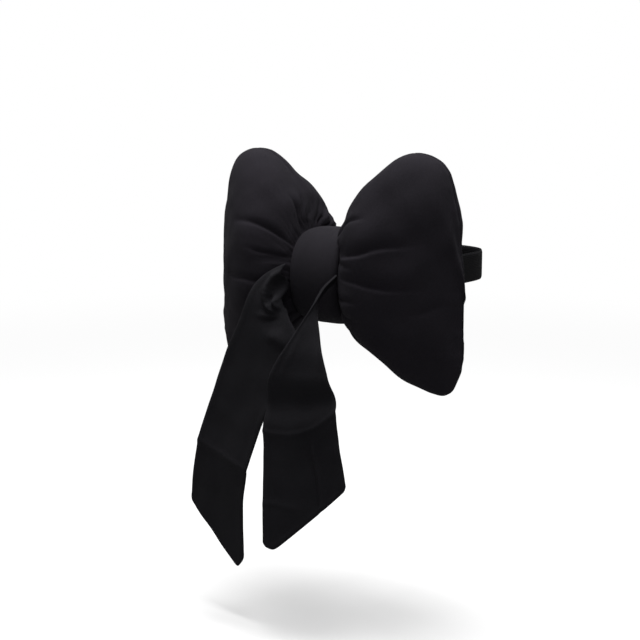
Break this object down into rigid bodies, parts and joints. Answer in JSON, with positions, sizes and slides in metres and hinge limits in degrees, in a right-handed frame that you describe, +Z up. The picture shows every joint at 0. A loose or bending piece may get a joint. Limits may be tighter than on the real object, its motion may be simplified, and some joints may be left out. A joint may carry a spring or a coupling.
{
  "type": "car neck pillow",
  "caption": "Black stuffed neck pillow in the shape of a bow, with a knot band, ribbon tails with slanted ends and an elastic strap at the back.",
  "frame": {"origin": "middle of the knot, in the plane of the seam that joins the cushion's front and back panels", "axes": "+Z up along the knot, +X across the bow to the viewer's right, +Y from the bow's front to its back"},
  "size_m": [0.28, 0.2243, 0.4002],
  "materials": {
    "cushion_cloth": "matte plain weave",
    "band_cloth": "matte plain weave",
    "tail_cloth": "soft sheen plain weave",
    "strap_elastic": "matte ribbed elastic"
  },
  "bodies": {
    "root": {"bow_cushion": "cushion_cloth", "knot_band": "band_cloth", "left_tail": "tail_cloth", "right_tail": "tail_cloth", "back_strap": "strap_elastic"}
  },
  "joints": []
}
